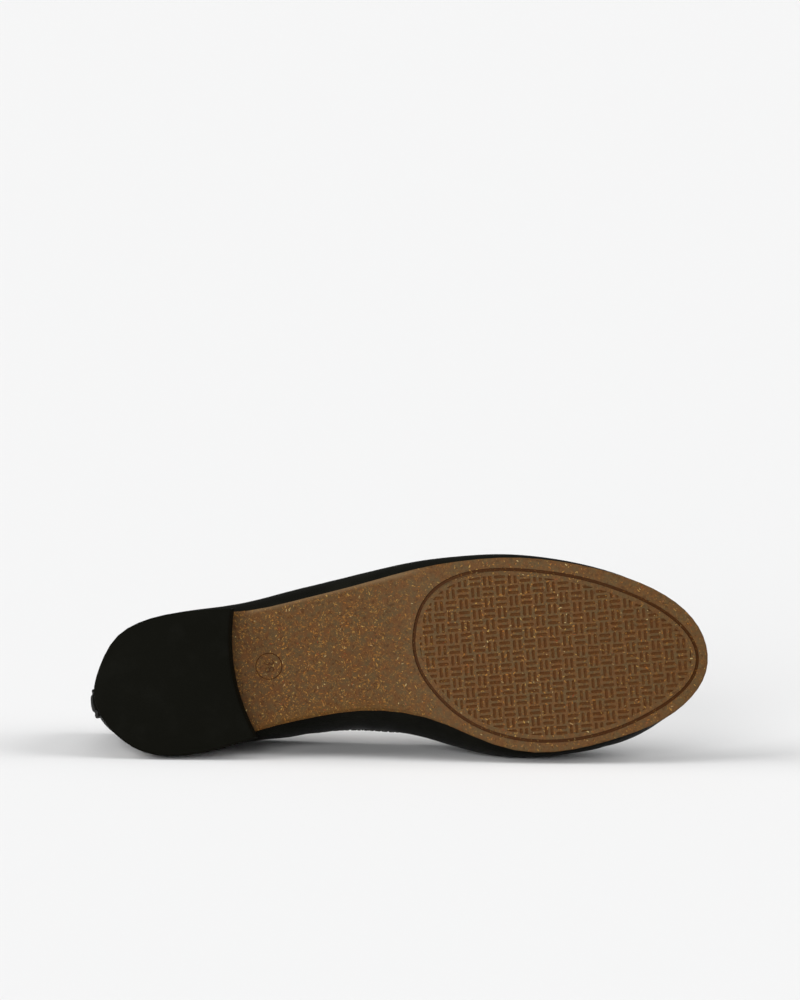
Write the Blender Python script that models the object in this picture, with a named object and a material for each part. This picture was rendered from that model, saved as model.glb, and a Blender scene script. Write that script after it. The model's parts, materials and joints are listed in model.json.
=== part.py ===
"""Ballet flat, right shoe, lying empty on its inner side with the sole upright.

The pieces are modelled in shoe axes: X from heel to toe, Y to the inner side of the foot, Z up from the
ground on which the shoe would stand. An empty then lays the whole shoe down on its side.
"""

import math
from collections import namedtuple

import bmesh
import bpy
import numpy as np
from mathutils import Matrix, Vector

# Driving sizes in metres
SOLE_LENGTH = 0.250
BALL_WIDTH = 0.079
SOLE_THICKNESS = 0.0034
SOLE_BEVEL_WIDTH = 0.0042
SOLE_BEVEL_HEIGHT = 0.0018
HEEL_HEIGHT = 0.0100
TOE_SPRING = 0.0072
HEEL_FLARE_INNER = 0.0026
HEEL_FLARE_OUTER = 0.0014
HEEL_CHAMFER = 0.0006
BREAST_HOLLOW = 0.0046
BREAST_SLANT = 0.0012
BACK_HEIGHT = 0.0460
UPPER_WALL = 0.0018
FEATHER_INSET = 0.0010
INSOLE_THICKNESS = 0.0022
INSOLE_CLEARANCE = 0.0008
BINDING_HEIGHT = 0.0036
BINDING_THICKNESS = 0.0026
BACK_STRIP_WIDTH = 0.0105
BACK_STRIP_THICKNESS = 0.0013
TREAD_GROOVE_WIDTH = 0.0012
TREAD_GROOVE_DEPTH = 0.0009
FIT_GAP = 0.0003

# Where things lie along the sole, as shares of its length
BREAST_INNER = 0.254
BREAST_OUTER = 0.233
TREAD_START = 0.5250
TREAD_LENGTH = 0.4580
COLLAR_SETBACK = 0.014
OPENING_LENGTH = 0.698
# Angle round the outline of the seam up the back
BACK_SEAM_ANGLE = 0.065

# How finely the curves are cut
RING_STEPS = 88
WALL_ROWS = 11
SOLE_COLUMNS = 6
BREAST_STEPS = 12
BINDING_SIDES = 8
TREAD_STEPS = 64

# Weights per cubic metre, for the balance of the shoe as it lies
RUBBER_DENSITY = 1150.0
LEATHER_DENSITY = 900.0

FULL_TURN = 2 * math.pi
UP = Vector((0, 0, 1))

# Edge of the outsole. along is a share of its length, inner and outer are shares of the ball width.
Outline = namedtuple("Outline", "along inner outer")
SOLE_OUTLINE = (
    Outline(0.000, -0.052, -0.052),
    Outline(0.010, 0.064, -0.172),
    Outline(0.040, 0.184, -0.324),
    Outline(0.080, 0.259, -0.397),
    Outline(0.140, 0.276, -0.430),
    Outline(0.200, 0.247, -0.429),
    Outline(0.260, 0.196, -0.424),
    Outline(0.340, 0.154, -0.458),
    Outline(0.430, 0.134, -0.506),
    Outline(0.500, 0.162, -0.549),
    Outline(0.560, 0.228, -0.580),
    Outline(0.620, 0.328, -0.594),
    Outline(0.680, 0.402, -0.594),
    Outline(0.760, 0.420, -0.560),
    Outline(0.840, 0.379, -0.490),
    Outline(0.920, 0.299, -0.376),
    Outline(0.970, 0.190, -0.249),
    Outline(0.992, 0.095, -0.140),
    Outline(1.000, -0.018, -0.018),
)

# Egg-shaped groove round the forefoot tread, in the same way along its own length
TREAD_OUTLINE = (
    Outline(0.00, -0.177, -0.177),
    Outline(0.05, 0.044, -0.400),
    Outline(0.20, 0.258, -0.516),
    Outline(0.35, 0.343, -0.532),
    Outline(0.50, 0.369, -0.498),
    Outline(0.65, 0.343, -0.437),
    Outline(0.80, 0.274, -0.341),
    Outline(0.93, 0.164, -0.209),
    Outline(1.00, -0.010, -0.010),
)

# Underside of the outsole: lift is a share of the heel height behind the ball and of the toe spring
# before it, and bevel a share of the bevelled edge.
Profile = namedtuple("Profile", "along lift bevel")
SOLE_PROFILE = (
    Profile(0.00, 1.00, 0.30),
    Profile(0.25, 1.00, 0.70),
    Profile(0.30, 0.92, 1.00),
    Profile(0.36, 0.73, 1.00),
    Profile(0.42, 0.50, 1.00),
    Profile(0.48, 0.27, 0.90),
    Profile(0.54, 0.10, 0.60),
    Profile(0.61, 0.00, 0.35),
    Profile(0.78, 0.00, 0.30),
    Profile(0.84, 0.08, 0.30),
    Profile(0.90, 0.28, 0.30),
    Profile(0.96, 0.66, 0.30),
    Profile(1.00, 1.00, 0.30),
)
BALL_ALONG = 0.70

# Top edge of the upper. along is a share of the opening from heel to throat, inner and outer are shares
# of the ball width, and height is a share of the height of the back above the sole.
Collar = namedtuple("Collar", "along inner outer height")
COLLAR = (
    Collar(0.00, -0.040, -0.040, 1.000),
    Collar(0.03, 0.085, -0.170, 0.990),
    Collar(0.10, 0.155, -0.270, 0.960),
    Collar(0.21, 0.190, -0.335, 0.885),
    Collar(0.33, 0.205, -0.385, 0.795),
    Collar(0.45, 0.216, -0.435, 0.720),
    Collar(0.56, 0.222, -0.480, 0.657),
    Collar(0.68, 0.242, -0.505, 0.617),
    Collar(0.79, 0.250, -0.480, 0.610),
    Collar(0.89, 0.200, -0.400, 0.643),
    Collar(0.96, 0.110, -0.290, 0.676),
    Collar(1.00, -0.085, -0.085, 0.698),
)
# How fast the collar's places follow the sole's at the heel and at the toe
COLLAR_PACE_AT_HEEL = 1.35
COLLAR_PACE_AT_TOE = 0.30

# Bend of the wall between the sole and the collar. swell and reach push the lower and the upper part
# outwards, as shares of the ball width; rise and drop are shares of the wall's height.
Wall = namedtuple("Wall", "along swell_inner swell_outer rise reach_inner reach_outer drop")
WALL_BENDS = (
    Wall(0.00, 0.036, 0.036, 0.32, 0.040, 0.040, 0.36),
    Wall(0.01, 0.068, 0.030, 0.32, 0.036, 0.044, 0.36),
    Wall(0.08, 0.020, 0.060, 0.28, 0.020, 0.060, 0.36),
    Wall(0.20, 0.066, 0.082, 0.24, 0.030, 0.080, 0.36),
    Wall(0.32, 0.098, 0.100, 0.22, 0.045, 0.090, 0.38),
    Wall(0.44, 0.068, 0.099, 0.20, 0.020, 0.080, 0.36),
    Wall(0.55, 0.104, 0.098, 0.18, 0.040, 0.080, 0.30),
    Wall(0.65, 0.116, 0.086, 0.20, 0.080, 0.110, 0.24),
    Wall(0.70, 0.106, 0.081, 0.22, 0.115, 0.143, 0.22),
    Wall(0.76, 0.107, 0.076, 0.25, 0.160, 0.180, 0.22),
    Wall(0.86, 0.088, 0.064, 0.36, 0.280, 0.280, 0.27),
    Wall(0.94, 0.044, 0.033, 0.48, 0.420, 0.420, 0.36),
    Wall(1.00, 0.012, 0.012, 0.52, 0.560, 0.560, 0.42),
)

# Across the strip up the back, as shares of half its width and of its thickness. A stitched channel
# lies beside each edge.
Strip = namedtuple("Strip", "across thickness")
STRIP_PROFILE = (
    Strip(-1.00, 0.62),
    Strip(-0.80, 0.76),
    Strip(-0.66, 0.40),
    Strip(-0.50, 0.80),
    Strip(0.00, 1.10),
    Strip(0.50, 0.88),
    Strip(0.66, 0.50),
    Strip(0.80, 0.95),
    Strip(1.00, 0.80),
)


def angle_of(along):
    """Angle round an outline at a share of its length: 0 at the heel end, half a turn at the toe end."""
    return math.acos(1 - 2 * along)


def along_of(angle):
    return (1 - math.cos(angle)) / 2


def closed_curve(rows, inner, outer):
    """A smooth closed function of the angle through the rows: up the inner side and back down the outer."""
    knots = [angle_of(row.along) for row in rows]
    knots += [FULL_TURN - angle_of(row.along) for row in rows[-2:0:-1]]
    values = [getattr(row, inner) for row in rows]
    values += [getattr(row, outer) for row in rows[-2:0:-1]]
    knots, values = np.array(knots), np.array(values)
    spans = np.diff(np.append(knots, FULL_TURN))
    slopes = (np.roll(values, -1) - values) / spans
    count = len(knots)
    system = np.zeros((count, count))
    for i in range(count):
        system[i, i - 1] = spans[i - 1]
        system[i, i] = 2 * (spans[i - 1] + spans[i])
        system[i, (i + 1) % count] = spans[i]
    bends = np.linalg.solve(system, 6 * (slopes - np.roll(slopes, 1)))

    def value_at(angle):
        angle %= FULL_TURN
        i = int(np.searchsorted(knots, angle, side="right")) - 1
        after = (i + 1) % count
        into, left, span = angle - knots[i], knots[i] + spans[i] - angle, spans[i]
        cubic = (bends[i] * left**3 + bends[after] * into**3) / (6 * span)
        start = (values[i] / span - bends[i] * span / 6) * left
        end = (values[after] / span - bends[after] * span / 6) * into
        return float(cubic + start + end)

    return value_at


def level_curve(rows, column):
    """A smooth function of the place along the sole that never overshoots its rows."""
    places = [row.along for row in rows]
    values = [getattr(row, column) for row in rows]
    slopes = [(b - a) / (q - p) for a, b, p, q in zip(values, values[1:], places, places[1:])]
    tangents = [0.0]
    for before, after in zip(slopes, slopes[1:]):
        same_way = before * after > 0
        tangents.append(2 * before * after / (before + after) if same_way else 0.0)
    tangents.append(slopes[-1])

    def value_at(along):
        i = min(max(sum(place <= along for place in places) - 1, 0), len(places) - 2)
        span = places[i + 1] - places[i]
        t = (along - places[i]) / span
        start = values[i] * (1 + 2 * t) * (1 - t) ** 2 + tangents[i] * span * t * (1 - t) ** 2
        end = values[i + 1] * t * t * (3 - 2 * t) + tangents[i + 1] * span * t * t * (t - 1)
        return start + end

    return value_at


sole_side = closed_curve(SOLE_OUTLINE, "inner", "outer")
tread_side = closed_curve(TREAD_OUTLINE, "inner", "outer")
collar_side = closed_curve(COLLAR, "inner", "outer")
collar_height = closed_curve(COLLAR, "height", "height")
wall_swell = closed_curve(WALL_BENDS, "swell_inner", "swell_outer")
wall_rise = closed_curve(WALL_BENDS, "rise", "rise")
wall_reach = closed_curve(WALL_BENDS, "reach_inner", "reach_outer")
wall_drop = closed_curve(WALL_BENDS, "drop", "drop")
sole_lift = level_curve(SOLE_PROFILE, "lift")
sole_bevel = level_curve(SOLE_PROFILE, "bevel")


def sole_edge(angle, inset=0.0):
    """Point on the outsole's outline, moved inwards by inset, at no height."""
    place = Vector((SOLE_LENGTH * along_of(angle), BALL_WIDTH * sole_side(angle), 0))
    return place - outward(angle) * inset


def outward(angle):
    """Level direction out of the sole's outline."""
    step = 0.01
    side_change = BALL_WIDTH * (sole_side(angle + step) - sole_side(angle - step)) / (2 * step)
    return Vector((-side_change, SOLE_LENGTH * math.sin(angle) / 2, 0)).normalized()


def sole_bottom(x):
    along = min(max(x / SOLE_LENGTH, 0.0), 1.0)
    size = HEEL_HEIGHT if along < BALL_ALONG else TOE_SPRING
    return size * sole_lift(along)


def sole_top(x):
    return sole_bottom(x) + SOLE_THICKNESS


def feather(angle):
    """Where the upper meets the sole."""
    place = sole_edge(angle, FEATHER_INSET)
    place.z = sole_top(place.x) + FIT_GAP
    return place


def collar_angle(angle):
    """Angle round the collar for an angle round the sole, paced so that the ribs of the wall stay upright."""
    s = along_of(angle)
    start = COLLAR_PACE_AT_HEEL * s * (1 - s) ** 2
    end = COLLAR_PACE_AT_TOE * s * s * (s - 1)
    share = min(max(s * s * (3 - 2 * s) + start + end, 0.0), 1.0)
    turned = angle_of(share)
    return turned if angle % FULL_TURN <= math.pi else FULL_TURN - turned


def collar(angle):
    """Top edge of the upper's outer face."""
    turned = collar_angle(angle)
    x = SOLE_LENGTH * (COLLAR_SETBACK + OPENING_LENGTH * along_of(turned))
    height = HEEL_HEIGHT + SOLE_THICKNESS + BACK_HEIGHT * collar_height(turned)
    return Vector((x, BALL_WIDTH * collar_side(turned), height))


def upper_point(angle, share):
    """Outer face of the upper, share 0 at the sole and 1 at the collar."""
    foot, top, out = feather(angle), collar(angle), outward(angle)
    height = top.z - foot.z
    low = foot + out * wall_swell(angle) * BALL_WIDTH + UP * wall_rise(angle) * height
    high = top + out * wall_reach(angle) * BALL_WIDTH - UP * wall_drop(angle) * height
    left = 1 - share
    near = foot * left**3 + low * (3 * left * left * share)
    return near + high * (3 * left * share * share) + top * share**3


def upper_frame(angle, share):
    """Point of the upper's outer face, with its outward normal and the way up the wall."""
    step = 0.004
    low, high = max(share - step, 0.0), min(share + step, 1.0)
    climb = (upper_point(angle, high) - upper_point(angle, low)).normalized()
    round_it = upper_point(angle + step, share) - upper_point(angle - step, share)
    return upper_point(angle, share), climb.cross(round_it).normalized(), climb


def new_object(name, mesh, material):
    mesh.materials.append(material)
    thing = bpy.data.objects.new(name, mesh)
    bpy.context.scene.collection.objects.link(thing)
    mesh.shade_smooth()
    mesh.set_sharp_from_angle(angle=math.radians(35))
    return thing


def lofted_mesh(name, loops, closed_round=False):
    """Closed skin over loops of points, with the ends capped, or joined to each other where it runs round."""
    bm = bmesh.new()
    rings = [[bm.verts.new(point) for point in loop] for loop in loops]
    pairs = list(zip(rings, rings[1:]))
    if closed_round:
        pairs.append((rings[-1], rings[0]))
    for one, other in pairs:
        for i in range(len(one)):
            after = (i + 1) % len(one)
            bm.faces.new((one[i], one[after], other[after], other[i]))
    if not closed_round:
        bm.faces.new(rings[0][::-1])
        bm.faces.new(rings[-1])
    bmesh.ops.remove_doubles(bm, verts=bm.verts, dist=1e-6)
    bmesh.ops.dissolve_degenerate(bm, edges=bm.edges, dist=1e-6)
    bmesh.ops.recalc_face_normals(bm, faces=bm.faces)
    mesh = bpy.data.meshes.new(name)
    bm.to_mesh(mesh)
    bm.free()
    return mesh


def material(name, colour, roughness, metallic=0.0):
    made = bpy.data.materials.new(name)
    made.use_nodes = True
    shader = made.node_tree.nodes["Principled BSDF"]
    shader.inputs["Base Color"].default_value = (*colour, 1)
    shader.inputs["Roughness"].default_value = roughness
    shader.inputs["Metallic"].default_value = metallic
    return made


def between(start, end, steps):
    return [start.lerp(end, i / steps) for i in range(steps + 1)]


def sole_side_profile(angle):
    """Points down the outsole's side, from its top edge round the bevel to the flat of the underside."""
    along = along_of(angle)
    width = SOLE_BEVEL_WIDTH * sole_bevel(along)
    height = SOLE_BEVEL_HEIGHT * sole_bevel(along)
    points = []
    for inset, lift in ((0.0, None), (0.0, 1.0), (0.30, 0.30), (1.0, 0.0)):
        place = sole_edge(angle, inset * width)
        place.z = sole_top(place.x) if lift is None else sole_bottom(place.x) + lift * height
        points.append(place)
    return points


def make_outsole(rubber):
    loops = []
    for i in range(RING_STEPS // 2 + 1):
        angle = FULL_TURN * i / RING_STEPS
        inner, outer = sole_side_profile(angle), sole_side_profile(-angle)
        under = between(inner[-1], outer[-1], SOLE_COLUMNS)
        for place in under:
            place.z = sole_bottom(place.x)
        over = between(outer[0], inner[0], SOLE_COLUMNS)
        loops.append(inner[:-1] + under + outer[-2::-1] + over[1:-1])
    outsole = new_object("outsole", lofted_mesh("outsole", loops), rubber)
    groove = outsole.modifiers.new("tread groove", "BOOLEAN")
    groove.operation = "DIFFERENCE"
    groove.object = make_groove_cutter()
    return outsole


def make_groove_cutter():
    """Ring that cuts the groove round the tread."""
    loops = []
    for i in range(TREAD_STEPS):
        angle = FULL_TURN * i / TREAD_STEPS
        centre = tread_point(angle)
        way = (tread_point(angle + 0.01) - tread_point(angle - 0.01)).normalized()
        across = way.cross(UP).normalized() * TREAD_GROOVE_WIDTH / 2
        depth = UP * TREAD_GROOVE_DEPTH
        loops.append([centre - across - depth, centre - across * 0.8 + depth,
                      centre + across * 0.8 + depth, centre + across - depth])
    mesh = lofted_mesh("groove_cutter", loops, closed_round=True)
    cutter = new_object("groove_cutter", mesh, material("cutter", (0.5, 0.5, 0.5), 1))
    cutter.hide_render = True
    cutter.display_type = "WIRE"
    return cutter


def tread_point(angle):
    x = SOLE_LENGTH * (TREAD_START + TREAD_LENGTH * along_of(angle))
    return Vector((x, BALL_WIDTH * tread_side(angle), sole_bottom(x)))


def heel_edge(angle, inset):
    """Outline of the heel block, which stands out more and more towards its breast."""
    flare = HEEL_FLARE_INNER if math.sin(angle) > 0 else HEEL_FLARE_OUTER
    return sole_edge(angle, inset - flare * along_of(angle) / BREAST_INNER)


def heel_loop(z, inset, breast_shift):
    """Level outline of the heel block, with its hollow breast towards the waist."""
    first, last = -angle_of(BREAST_OUTER), angle_of(BREAST_INNER)
    steps = RING_STEPS // 3
    points = [heel_edge(first + (last - first) * i / steps, inset) for i in range(steps + 1)]
    inner, outer = points[-1], points[0]
    heelward = (inner - outer).cross(UP).normalized() * -1
    shift = heelward * (inset - breast_shift)
    for point in (inner, outer):
        point += shift
    for i in range(1, BREAST_STEPS):
        share = i / BREAST_STEPS
        points.append(inner.lerp(outer, share) + heelward * BREAST_HOLLOW * 4 * share * (1 - share))
    return [Vector((point.x, point.y, z)) for point in points]


def make_heel(rubber):
    top = HEEL_HEIGHT - FIT_GAP
    loops = [
        heel_loop(0, HEEL_CHAMFER, 0),
        heel_loop(HEEL_CHAMFER, 0, 0),
        heel_loop(top, 0, BREAST_SLANT),
    ]
    return new_object("heel", lofted_mesh("heel", loops), rubber)


def make_upper(leather):
    """Hollow wall from the sole to the collar, open above and below."""
    loops = []
    for i in range(RING_STEPS):
        angle = FULL_TURN * i / RING_STEPS
        outside, inside = [], []
        for row in range(WALL_ROWS + 1):
            point, normal, _ = upper_frame(angle, row / WALL_ROWS)
            outside.append(point)
            inside.append(point - normal * UPPER_WALL)
        loops.append(outside + inside[::-1])
    return new_object("upper", lofted_mesh("upper", loops, closed_round=True), leather)


def make_binding(leather):
    """Rounded band that carries on from the top edge of the wall."""
    loops = []
    for i in range(RING_STEPS):
        point, normal, climb = upper_frame(FULL_TURN * i / RING_STEPS, 1.0)
        centre = point - normal * UPPER_WALL / 2 + climb * (FIT_GAP + BINDING_HEIGHT / 2)
        loop = []
        for side in range(BINDING_SIDES):
            turn = FULL_TURN * (side + 0.5) / BINDING_SIDES
            reach = 1 / math.cos(math.pi / BINDING_SIDES)
            up = climb * math.sin(turn) * reach * BINDING_HEIGHT / 2
            loop.append(centre + up + normal * math.cos(turn) * reach * BINDING_THICKNESS / 2)
        loops.append(loop)
    return new_object("collar_binding", lofted_mesh("collar_binding", loops, closed_round=True), leather)


def make_back_strip(leather):
    """Strip laid over the seam up the back, from the upper's own surface."""
    speed = (sole_edge(BACK_SEAM_ANGLE + 0.05) - sole_edge(BACK_SEAM_ANGLE - 0.05)).length / 0.1
    half_angle = BACK_STRIP_WIDTH / 2 / speed
    wall_height = collar(BACK_SEAM_ANGLE).z - feather(BACK_SEAM_ANGLE).z
    end_margin = (BINDING_THICKNESS + FIT_GAP) / wall_height
    loops = []
    for row in range(WALL_ROWS + 1):
        share = end_margin + (1 - 2 * end_margin) * row / WALL_ROWS
        outside, inside = [], []
        for column in STRIP_PROFILE:
            point, normal, _ = upper_frame(BACK_SEAM_ANGLE + half_angle * column.across, share)
            inside.append(point + normal * FIT_GAP)
            outside.append(point + normal * (FIT_GAP + BACK_STRIP_THICKNESS * column.thickness))
        loops.append(outside + inside[::-1])
    return new_object("back_strip", lofted_mesh("back_strip", loops), leather)


def make_insole(leather):
    """Sock that lies on the outsole inside the wall."""
    inset = FEATHER_INSET + UPPER_WALL + INSOLE_CLEARANCE
    loops = []
    for i in range(RING_STEPS // 2 + 1):
        angle = FULL_TURN * i / RING_STEPS
        edges = [sole_edge(angle, inset), sole_edge(-angle, inset)]
        under = between(*edges, SOLE_COLUMNS)
        over = [place.copy() for place in under[::-1]]
        for place in under:
            place.z = sole_top(place.x) + FIT_GAP
        for place in over:
            place.z = sole_top(place.x) + FIT_GAP + INSOLE_THICKNESS
        loops.append(under + over)
    return new_object("insole", lofted_mesh("insole", loops), leather)


def triangles_of(thing):
    graph = bpy.context.evaluated_depsgraph_get()
    mesh = thing.evaluated_get(graph).to_mesh()
    mesh.calc_loop_triangles()
    points = np.array([vertex.co for vertex in mesh.vertices])
    return points[np.array([triangle.vertices for triangle in mesh.loop_triangles])]


def balance_point(things, densities):
    """Centre of mass of the solids."""
    weight, moment = 0.0, np.zeros(3)
    for thing, density in zip(things, densities):
        corners = triangles_of(thing)
        volumes = np.linalg.det(corners) / 6 * density
        weight += volumes.sum()
        moment += (volumes[:, None] * corners.sum(axis=1) / 4).sum(axis=0)
    return moment / weight


def resting_face(things, centre):
    """Outward normal of the side that the shoe comes to rest on when it is laid over to the inner side."""
    corners = np.concatenate([triangles_of(thing).reshape(-1, 3) for thing in things])
    bm = bmesh.new()
    for point in np.unique(np.round(corners, 6), axis=0):
        bm.verts.new(point)
    hull = bmesh.ops.convex_hull(bm, input=bm.verts)["geom"]
    bmesh.ops.triangulate(bm, faces=[item for item in hull if isinstance(item, bmesh.types.BMFace)])
    faces = np.array([[vertex.co for vertex in face.verts] for face in bm.faces])
    bm.free()
    normals = np.cross(faces[:, 1] - faces[:, 0], faces[:, 2] - faces[:, 0])
    normals /= np.linalg.norm(normals, axis=1)[:, None]
    normals *= np.sign(((faces[:, 0] - centre) * normals).sum(axis=1))[:, None]
    heights = ((faces[:, 0] - centre) * normals).sum(axis=1)
    down = np.array((0.0, 1.0, 0.0))
    for _ in range(len(faces)):
        facing = normals @ down
        reaches = np.where(facing > 1e-6, heights / np.maximum(facing, 1e-6), np.inf)
        met = normals[int(reaches.argmin())]
        if np.allclose(met, down):
            break
        down = met
    return Vector(down)


def lay_down(things, densities):
    """Parents the pieces to an empty that turns the shoe onto its inner side, with its lowest point at no
    height and the middle of its box over the origin."""
    down = resting_face(things, balance_point(things, densities))
    length_way = (Vector((1, 0, 0)) - down * down.x).normalized()
    turn = Matrix((length_way, (-down).cross(length_way), -down))
    corners = np.concatenate([triangles_of(thing).reshape(-1, 3) for thing in things]) @ np.array(turn).T
    low, high = corners.min(axis=0), corners.max(axis=0)
    middle = (low + high) / 2
    pose = bpy.data.objects.new("lying_pose", None)
    bpy.context.scene.collection.objects.link(pose)
    pose.matrix_world = Matrix.Translation((-middle[0], -middle[1], -low[2])) @ turn.to_4x4()
    for thing in bpy.data.objects:
        if thing.type == "MESH":
            thing.parent = pose


def build():
    for thing in list(bpy.data.objects):
        bpy.data.objects.remove(thing)
    rubber_pieces = [
        make_outsole(material("flecked_rubber", (0.135, 0.072, 0.029), 0.62)),
        make_heel(material("heel_rubber", (0.0070, 0.0070, 0.0055), 0.60)),
    ]
    leather_pieces = [
        make_upper(material("upper_leather", (0.007, 0.007, 0.006), 0.42)),
        make_binding(material("binding_leather", (0.006, 0.006, 0.005), 0.48)),
        make_back_strip(material("strip_leather", (0.008, 0.008, 0.007), 0.45)),
        make_insole(material("sock_leather", (0.42, 0.30, 0.19), 0.60)),
    ]
    densities = [RUBBER_DENSITY] * len(rubber_pieces) + [LEATHER_DENSITY] * len(leather_pieces)
    lay_down(rubber_pieces + leather_pieces, densities)


build()
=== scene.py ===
import json
import math
from collections import namedtuple

import bmesh
import bpy
import numpy as np
from mathutils import Matrix, Vector


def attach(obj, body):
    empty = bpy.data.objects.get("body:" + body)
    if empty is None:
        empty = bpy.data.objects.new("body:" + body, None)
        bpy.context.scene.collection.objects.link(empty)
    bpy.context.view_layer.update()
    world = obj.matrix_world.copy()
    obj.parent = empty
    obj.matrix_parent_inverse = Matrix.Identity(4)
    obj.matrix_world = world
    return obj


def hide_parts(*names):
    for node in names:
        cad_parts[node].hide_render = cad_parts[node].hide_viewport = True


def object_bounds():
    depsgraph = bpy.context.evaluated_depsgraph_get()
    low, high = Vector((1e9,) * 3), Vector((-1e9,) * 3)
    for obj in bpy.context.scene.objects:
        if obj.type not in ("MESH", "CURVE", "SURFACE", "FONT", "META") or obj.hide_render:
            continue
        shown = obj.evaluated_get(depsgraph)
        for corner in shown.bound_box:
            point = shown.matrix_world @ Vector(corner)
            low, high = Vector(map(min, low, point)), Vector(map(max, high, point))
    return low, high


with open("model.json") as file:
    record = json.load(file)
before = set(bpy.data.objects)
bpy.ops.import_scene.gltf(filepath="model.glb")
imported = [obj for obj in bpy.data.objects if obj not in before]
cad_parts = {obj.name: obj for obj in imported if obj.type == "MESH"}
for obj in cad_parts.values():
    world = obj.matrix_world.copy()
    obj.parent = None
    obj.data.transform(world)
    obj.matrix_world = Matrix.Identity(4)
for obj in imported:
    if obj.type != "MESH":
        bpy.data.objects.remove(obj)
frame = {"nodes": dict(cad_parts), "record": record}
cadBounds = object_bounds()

# Ballet flat, right shoe, lying on its inner side: the finish of every surface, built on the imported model.
# Shapes are worked out in the shoe's own axes: X from heel to toe, Y to the inner side,
# and Z up from the tread. All sizes are in metres.

soleSizes = {
    "outerReach": 0.0469,     # from the outermost edge to the shoe's middle line
    "thickness": 0.0034,
    "seatGap": 0.0003,        # between the sole's top and the foot of the upper
    "grooveDepth": 0.0009,
    "grooveStart": 0.12,      # all of the groove lies beyond this place
    "cutterProud": 0.0006,    # how far a cutter stands out of the rubber
    "smoothAngle": 28,
}
fullTurn = 2 * math.pi


# Small helpers

def choose(piece):
    bpy.ops.object.select_all(action="DESELECT")
    piece.select_set(True)
    bpy.context.view_layer.objects.active = piece


def applyModifier(piece, kind, **settings):
    choose(piece)
    modifier = piece.modifiers.new(kind.lower(), kind)
    for name, value in settings.items():
        setattr(modifier, name, value)
    bpy.ops.object.modifier_apply(modifier=modifier.name)


def rename(piece, name):
    piece.name = piece.data.name = name
    return piece


def copyOfNode(node, name):
    # The node's loose triangles become one skin of quads, and the node itself is left alone
    piece = frame["nodes"][node].copy()
    piece.data = piece.data.copy()
    piece.parent = None
    for mark in list(piece.keys()):
        del piece[mark]
    rename(piece, name)
    bpy.context.scene.collection.objects.link(piece)
    choose(piece)
    bpy.ops.mesh.customdata_custom_splitnormals_clear()
    bpy.ops.object.mode_set(mode="EDIT")
    bpy.ops.mesh.select_all(action="SELECT")
    bpy.ops.mesh.remove_doubles(threshold=1e-5)
    bpy.ops.mesh.tris_convert_to_quads(
        face_threshold=math.radians(60), shape_threshold=math.radians(80), topology_influence=1.6)
    bpy.ops.object.mode_set(mode="OBJECT")
    piece.data.materials.clear()
    return piece


def getPoints(piece):
    points = np.empty(len(piece.data.vertices) * 3)
    piece.data.vertices.foreach_get("co", points)
    return points.reshape(-1, 3)


def setPoints(piece, points):
    count = len(piece.data.vertices)
    if len(points) != count:
        raise ValueError(f"{piece.name} has {count} points, and {len(points)} places for them")
    piece.data.vertices.foreach_set("co", np.ascontiguousarray(points, dtype=np.float32).ravel())
    piece.data.update()


def inShoe(points):
    return points @ np.array(toShoe.to_3x3()).T + np.array(toShoe.translation)


def inScene(points):
    return points @ np.array(toScene.to_3x3()).T + np.array(toScene.translation)


def unit(vectors):
    return vectors / np.linalg.norm(vectors, axis=-1, keepdims=True)


def faceOutwards(piece):
    bm = bmesh.new()
    bm.from_mesh(piece.data)
    bmesh.ops.recalc_face_normals(bm, faces=bm.faces)
    if bm.calc_volume(signed=True) < 0:
        bmesh.ops.reverse_faces(bm, faces=bm.faces)
    bm.to_mesh(piece.data)
    bm.free()


def smooth(piece, angle):
    choose(piece)
    bpy.ops.object.shade_smooth_by_angle(angle=math.radians(angle))


def roundEdges(piece, width, segments, angle):
    # Edges sharper than the angle, in degrees, are bevelled
    applyModifier(piece, "BEVEL", width=width, segments=segments, limit_method="ANGLE",
                  angle_limit=math.radians(angle))


def repeated(name, pattern, places):
    # One mesh with a copy of the pattern at each place
    corners = [vertex.co.copy() for vertex in pattern.data.vertices]
    sides = [list(face.vertices) for face in pattern.data.polygons]
    points, faces = [], []
    for place in places:
        first = len(points)
        points += [place @ corner for corner in corners]
        faces += [[first + corner for corner in side] for side in sides]
    mesh = bpy.data.meshes.new(name)
    mesh.from_pydata(points, [], faces)
    piece = bpy.data.objects.new(name, mesh)
    bpy.context.scene.collection.objects.link(piece)
    bpy.data.objects.remove(pattern)
    return piece


def tube(name, rings):
    # A grid laid over the rings of points. Its ends and its sides meet, and closeTube merges them.
    closed = np.concatenate((rings, rings[:1]))
    closed = np.concatenate((closed, closed[:, :1]), axis=1)
    bpy.ops.mesh.primitive_grid_add(x_subdivisions=rings.shape[1], y_subdivisions=rings.shape[0])
    piece = rename(bpy.context.object, name)
    setPoints(piece, inScene(closed.reshape(-1, 3)))
    return piece


def closeTube(piece):
    choose(piece)
    bpy.ops.object.mode_set(mode="EDIT")
    bpy.ops.mesh.select_all(action="SELECT")
    bpy.ops.mesh.remove_doubles(threshold=1e-6)
    bpy.ops.object.mode_set(mode="OBJECT")
    faceOutwards(piece)
    piece.data.shade_smooth()


def fasten(piece, slot, *nodes):
    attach(piece, "root")
    if nodes:
        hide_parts(*nodes)
    print("made", piece.name, "with", len(piece.data.polygons), "faces")


def softNoise(count, waves, seed):
    # A smooth random curve that closes on itself, one high at most
    draw = np.random.default_rng(seed)
    turns = np.arange(count) / count * fullTurn
    curve = sum(math.sqrt(1 / wave) * np.sin(wave * turns + draw.uniform(0, fullTurn))
                * draw.normal() for wave in range(1, waves + 1))
    return curve / np.abs(curve).max()


def squarer(wave, power):
    # A sine with fuller shoulders, the more so the lower the power
    return np.sign(wave) * np.abs(wave) ** power


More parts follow.
